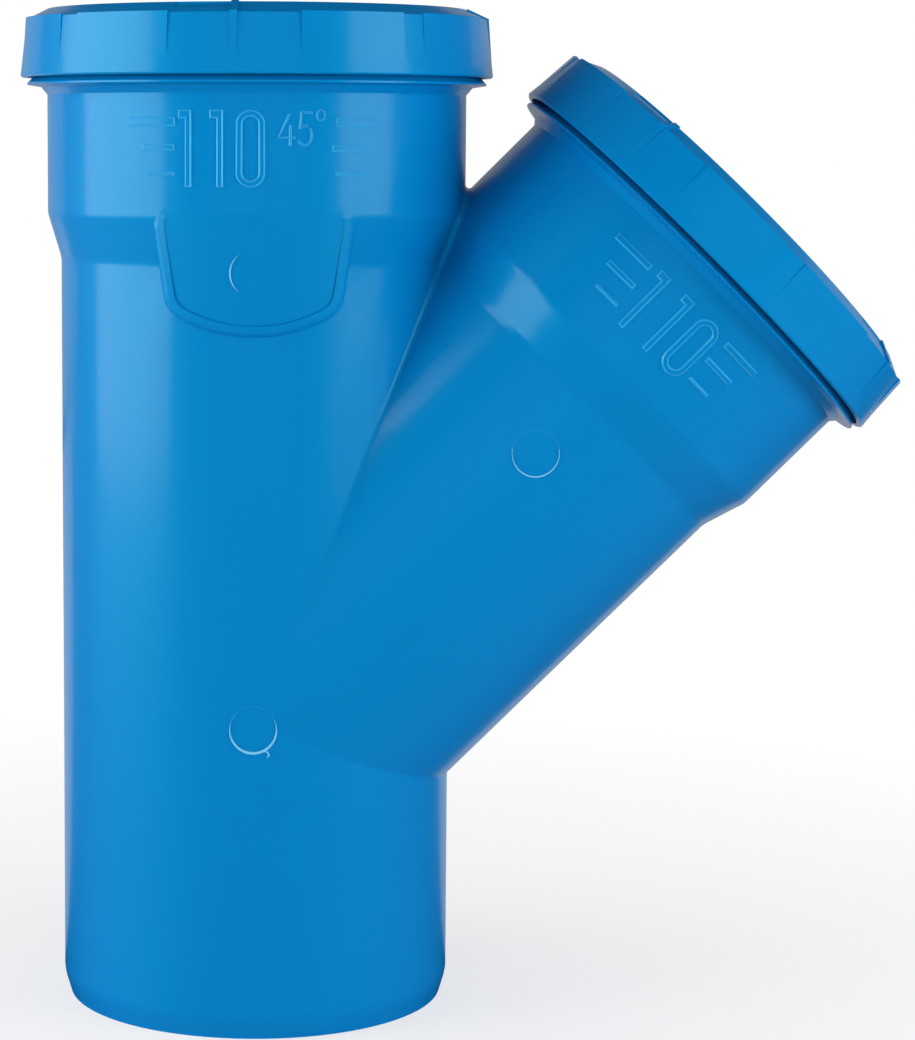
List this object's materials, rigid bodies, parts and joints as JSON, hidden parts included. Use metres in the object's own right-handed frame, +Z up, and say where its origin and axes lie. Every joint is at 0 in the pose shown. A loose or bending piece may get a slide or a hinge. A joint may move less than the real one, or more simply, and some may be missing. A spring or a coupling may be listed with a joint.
{
  "type": "45 degree pipe branch fitting",
  "caption": "Socketed drain pipe branch: a straight run with a plain end and an inlet joining at 45 degrees, with lock rings over lip seals in both sockets.",
  "frame": {"origin": "centre of the plain end's rim, on the run's axis", "axes": "+Z up the run towards its socket, branch leaning 45 degrees towards +X, front of the fitting towards -Y"},
  "size_m": [0.2478, 0.1328, 0.2806],
  "materials": {
    "fitting_plastic": "satin",
    "ring_plastic": "satin",
    "seal_rubber": "matte"
  },
  "bodies": {
    "root": {"fitting_body": "fitting_plastic", "run_lock_ring": "ring_plastic", "branch_lock_ring": "ring_plastic", "run_lip_seal": "seal_rubber", "branch_lip_seal": "seal_rubber"}
  },
  "joints": []
}
